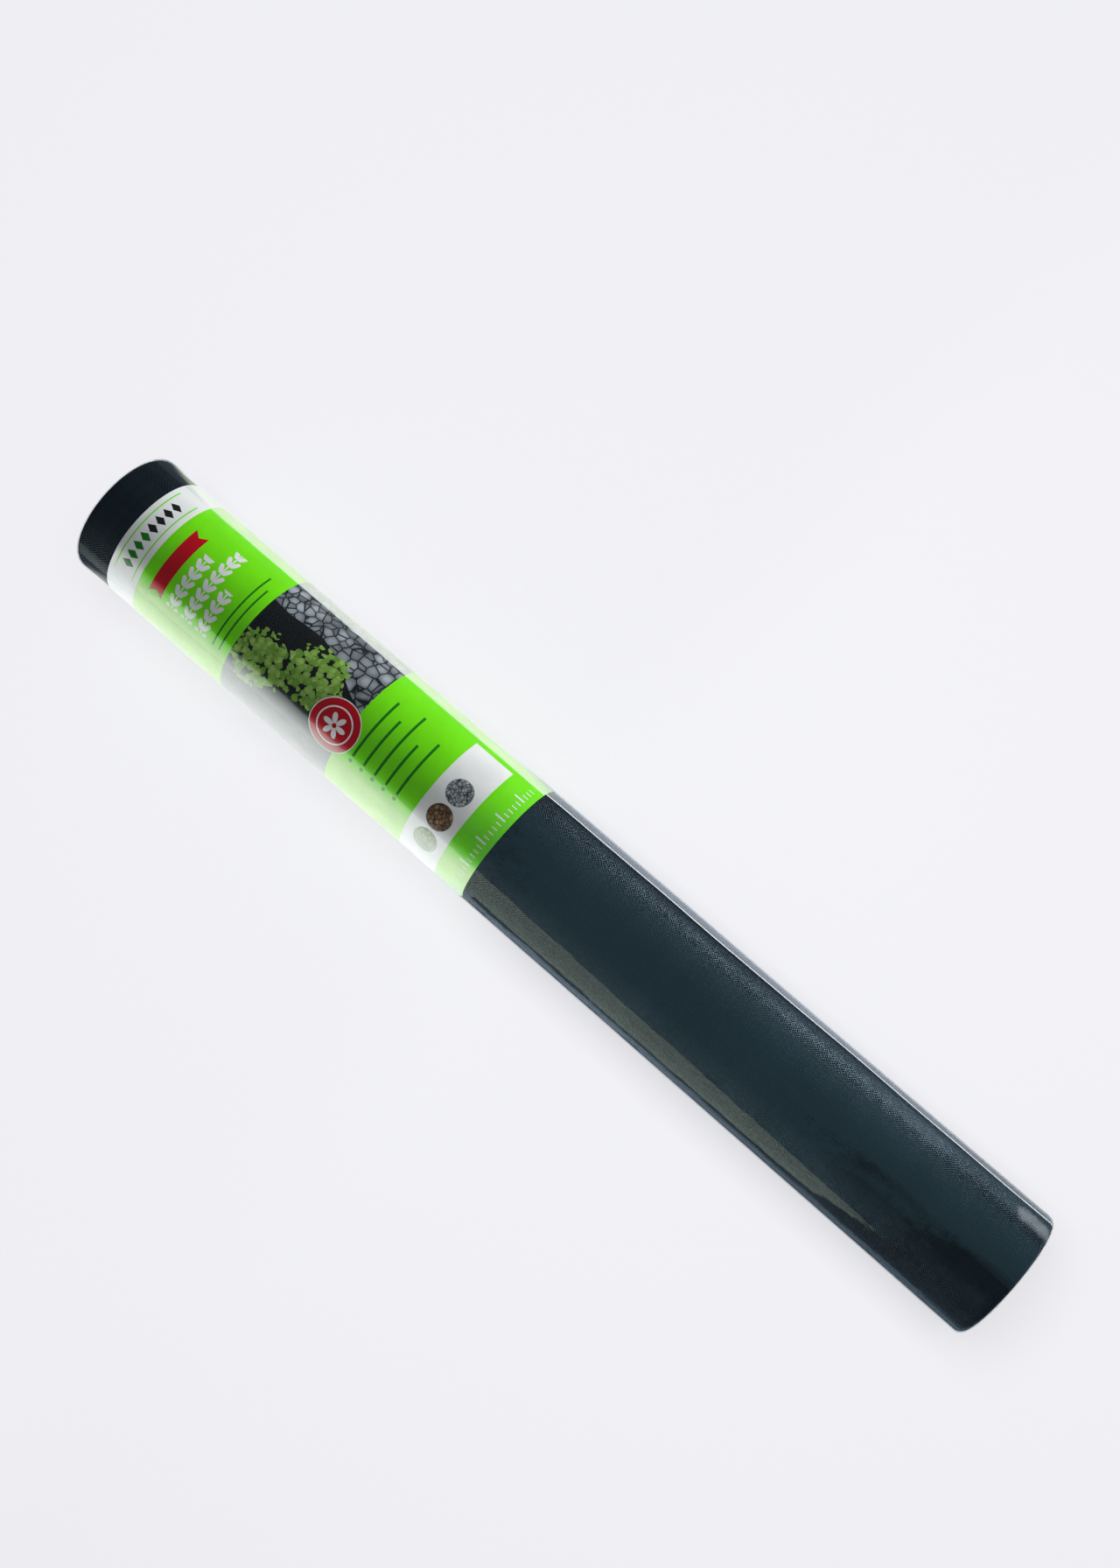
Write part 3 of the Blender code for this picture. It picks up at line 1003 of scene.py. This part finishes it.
# Tones that are painted for the film's reflections only
MIRROR_WHITE = (0.88, 0.91, 0.88)
MIRROR_GREEN = (0.7, 0.76, 0.6)
MIRROR_BRIGHT = (0.335, 0.405, 0.5)
MIRROR_DIM = (0.14, 0.18, 0.22)
MIRROR_LEFT = (0.5, 0.68, 0.84)
MIRROR_LEFT_DIM = (0.26, 0.37, 0.49)
MIRROR_FAINT = (0.06, 0.08, 0.105)
MIRROR_SIDE = (0.1, 0.16, 0.23)
MIRROR_NEAR = (0.24, 0.37, 0.48)
MIRROR_DARK = (0.04, 0.055, 0.075)
MIRROR_PANEL = (0.72, 0.88, 0.76)
CEILING = (0.142, 0.302, 0.39)
CEILING_DARK = (0.022, 0.032, 0.042)

# Painted reflections of white strips beside the roll: where they lie on its left, and the leaning edge
# on its right
LABEL_STRIP = (0.0, 0.21)
FABRIC_STRIP = (0.1, 0.158)
FABRIC_STRIP_FROM = -0.055
RIGHT_STRIP_LEAN, RIGHT_STRIP_EDGE = -0.14, 0.198
GREEN_FROM = 0.1

# Painted reflection of a grey board on the left: its near edge, which bends away from the roll, and its
# leaning end
BOARD_FROM, BOARD_BENDS_AT, BOARD_BEND = 0.2, 0.28, 9.5
BOARD_END, BOARD_END_LEAN = 0.31, 0.17

# Slanting panel beyond it: its place across, and its corners along the roll and in height
PANEL_PLACE = -1.5
PANEL_CORNERS = ((-1.0, 0), (0.53, 0), (0.53, 0.15), (-1.0, 1.1))

# Places along the roll between which a painted tone changes
OPEN_SIDE_FADE = (-0.13, -0.05)
NEAR_FADE = (0.15, 0.5)
BOARD_FADE = (-0.75, -0.4)
LABEL_FADE = (-0.11, -0.02)
LEFT_DIM_FADE, RIGHT_DIM_FADE = (0.05, 0.4), (0.22, 0.52)
RIM_FADE = (-0.5, -0.53)

# Lamps: name, place, size and power
BODY_LAMPS = (("key", (0.1, 1.68, 0.74), (2.0, 0.5), 36),
              ("fill", (0.0, -1.68, 0.3), (2.0, 0.4), 27))
GLINT_LAMPS = (("key_glint", (0.22, 0.5, 0.035), (0.6, 0.06), 2.2),
               ("fill_glint", (-0.2, -1.68, 0.14), (1.4, 0.2), 15))
TOP_LAMP = ("top", (0.0, 0.3, 2.6), (2.4, 1.6), 82)
GLINT_COLOUR = (0.64, 0.85, 1.0)


def mirrored_strips(shader, x, y, left):
    """Where the painted reflections of white strips lie on the floor."""
    right_edge = shader.times_plus(x, RIGHT_STRIP_LEAN, RIGHT_STRIP_EDGE)
    right_strip = shader.times(shader.more(y, 0), shader.less(y, right_edge))
    by_fabric = shader.more(x, FABRIC_STRIP_FROM)
    near, far = (shader.choose(by_fabric, *pair) for pair in zip(LABEL_STRIP, FABRIC_STRIP))
    left_strip = shader.times(shader.more(left, near), shader.less(left, far))
    return shader.math("MAXIMUM", right_strip, left_strip)


def mirrored_strip_tone(shader, x, y):
    """Tone of the painted reflection strips: white or green by the label, bluish and dimming by the
    fabric.
    """
    on_right = shader.more(y, 0)
    over_label = shader.mix(shader.more(y, GREEN_FROM), MIRROR_WHITE, MIRROR_GREEN)
    beside_fabric = shader.mix(on_right, MIRROR_LEFT, MIRROR_BRIGHT)
    tone = shader.mix(shader.range(x, *LABEL_FADE), over_label, beside_fabric)
    dimming = shader.choose(on_right, shader.range(x, *LEFT_DIM_FADE), shader.range(x, *RIGHT_DIM_FADE))
    tone = shader.mix(dimming, tone, shader.mix(on_right, MIRROR_LEFT_DIM, MIRROR_DIM))
    return shader.mix(shader.range(x, *RIM_FADE), tone, MIRROR_FAINT)


def mirrored_floor_tone(shader, x, y, left):
    """Painted reflection of a dark floor, with the open side on the right and the board on the left."""
    bent = shader.math("MAXIMUM", shader.minus(x, BOARD_BENDS_AT), 0)
    board_from = shader.times_plus(shader.times(bent, bent), BOARD_BEND, BOARD_FROM)
    board_end = shader.times_plus(left, BOARD_END_LEAN, BOARD_END)
    board = shader.times(shader.more(left, board_from), shader.less(left, -PANEL_PLACE),
                           shader.less(x, board_end), shader.range(x, *BOARD_FADE))
    open_side = shader.times(shader.more(y, 0), shader.range(x, *OPEN_SIDE_FADE))
    side = shader.mix(shader.range(x, *NEAR_FADE), MIRROR_SIDE, MIRROR_NEAR)
    tone = shader.mix(open_side, MIRROR_DARK, side)
    return shader.mix(board, tone, MIRROR_PANEL)


def stage_floor():
    """Pale floor with a soft shadow near the roll, which melts into the backdrop far off; glossy rays
    see painted reflections on it.
    """
    shader = new_shader("pale_floor")
    path = shader.node("ShaderNodeLightPath").outputs
    place = shader.node("ShaderNodeNewGeometry").outputs["Position"]
    x, y, _ = shader.parts(place)
    left = shader.times(y, -1)
    lit = shader.diffuse(FLOOR_GREY)
    near = shader.range(shader.length(place), *SHADOW_FADE, 1.0, 0.0)
    shadowed = shader.times(near, shader.range(x, *SHADOW_SIDE_FADE, *SHADOW_SHARES))
    seen = shader.blend(shadowed, shader.emission(BACKDROP), lit)
    direct = shader.blend(path["Is Camera Ray"], lit, seen)
    in_strips = mirrored_strips(shader, x, y, left)
    tone = shader.mix(in_strips, mirrored_floor_tone(shader, x, y, left), mirrored_strip_tone(shader, x, y))
    # Glossy rays see painted reflections here: strips, board and a dark floor
    shader.show(shader.blend(path["Is Glossy Ray"], direct, shader.emission(tone)))
    bpy.ops.mesh.primitive_plane_add(size=FLOOR_SIZE, location=(0, 0, 0))
    floor = bpy.context.object
    floor.name = "floor"
    floor.data.materials.append(shader.owner)
    return floor


def stage_panel():
    """Slanting panel beyond the roll's left side, seen only as a reflection in the film."""
    shader = new_shader("panel_grey")
    shader.show(shader.emission(MIRROR_PANEL))
    data = bpy.data.meshes.new("panel")
    data.from_pydata([(x, PANEL_PLACE, z) for x, z in PANEL_CORNERS], [], [(0, 1, 2, 3)])
    data.materials.append(shader.owner)
    panel = add_object("panel", data)
    for ray in ("camera", "diffuse", "shadow", "transmission"):
        setattr(panel, "visible_" + ray, False)


def mirrored_ceiling(shader):
    """What the film mirrors from above: a bluish ceiling, darker towards both ends."""
    x, y, z = shader.parts(shader.node("ShaderNodeTexCoord").outputs["Generated"])
    cloud = shader.noise(shader.combine(shader.times(x, 12.0), y), 1.6, 3.0)
    patchy = shader.math("ADD", x, shader.times_plus(cloud, 0.3, -0.15))
    bare_end = shader.times(shader.range(patchy, 0.06, 0.15), shader.range(y, 0.15, -0.25))
    labelled_end = shader.range(x, -0.13, -0.2)
    dark = shader.math("MAXIMUM", bare_end, labelled_end)
    low = shader.times(shader.range(z, 0.25, 0.18), shader.more(y, 0), shader.range(x, -0.2, -0.12))
    return shader.mix(low, shader.mix(dark, CEILING, CEILING_DARK), MIRROR_SIDE)


def background(shader, colour, strength):
    return shader.named(shader.node("ShaderNodeBackground"), Color=colour, Strength=strength)


def stage_world():
    """White for the camera, a painted ceiling for reflections, soft light for the rest."""
    world = bpy.data.worlds.new("studio")
    bpy.context.scene.world = world
    shader = Shader(world)
    shader.tree.nodes.clear()
    path = shader.node("ShaderNodeLightPath").outputs
    soft = background(shader, SOFT_LIGHT, SOFT_POWER)
    ceiling = background(shader, mirrored_ceiling(shader), 1.0)
    unseen = shader.blend(path["Is Glossy Ray"], soft, ceiling)
    final = shader.blend(path["Is Camera Ray"], unseen, background(shader, BACKDROP, 1.0))
    shader.feed(shader.node("ShaderNodeOutputWorld").inputs["Surface"], final)


def leave_out(light, *objects):
    """Keep a lamp's light off some objects."""
    without = bpy.data.collections.new(light.name + "_without")
    for item in objects:
        without.objects.link(item)
    light.light_linking.receiver_collection = without
    for link in without.collection_objects:
        link.light_linking.link_state = "EXCLUDE"


def stage_light(name, place, size, power, aim_x=0.0):
    """Soft lamp aimed at the roll's axis, which lights surfaces without glints on them."""
    data = bpy.data.lights.new(name, "AREA")
    data.shape = "RECTANGLE"
    data.size, data.size_y = size
    data.energy = power
    light = add_object(name, data)
    light.location = place
    aim = Vector((aim_x, 0, AXIS_HEIGHT)) - Vector(place)
    light.rotation_euler = aim.to_track_quat("-Z", "Y").to_euler()
    light.visible_camera = False
    light.visible_glossy = False
    return light


def stage_lights(fabric, label, film, floor):
    """Two lamps for the roll's sides, two that only make the weave glint, one overhead."""
    for lamp in BODY_LAMPS:
        leave_out(stage_light(*lamp), floor)
    for name, place, size, power in GLINT_LAMPS:
        glint = stage_light(name, place, size, power, place[0])
        glint.visible_glossy = True
        glint.visible_diffuse = False
        glint.data.color = GLINT_COLOUR
        leave_out(glint, floor, film, label)
    leave_out(stage_light(*TOP_LAMP), fabric, label, film)


def stage_camera():
    data = bpy.data.cameras.new("camera")
    data.sensor_width = SENSOR
    data.lens = FOCAL_PIXELS * SENSOR / PHOTO_HEIGHT
    data.clip_start = NEAREST_SEEN
    camera = add_object("camera", data)
    turn = Euler([math.radians(angle) for angle in CAMERA_TURN], "XYZ").to_matrix().transposed()
    place = Matrix.Translation((CAMERA_X, 0, AXIS_HEIGHT + CAMERA_RISE))
    camera.matrix_world = place @ turn.to_4x4()
    bpy.context.scene.camera = camera


stage_camera()
fabric = build_fabric(fabric_material())
label = build_label(label_material())
film = build_film(film_material())
dress_node("core_tube", core_material())
dress_node("core_tape", tape_material())
floor = stage_floor()
stage_panel()
stage_world()
stage_lights(fabric, label, film, floor)
bpy.context.scene.view_settings.view_transform = "Standard"
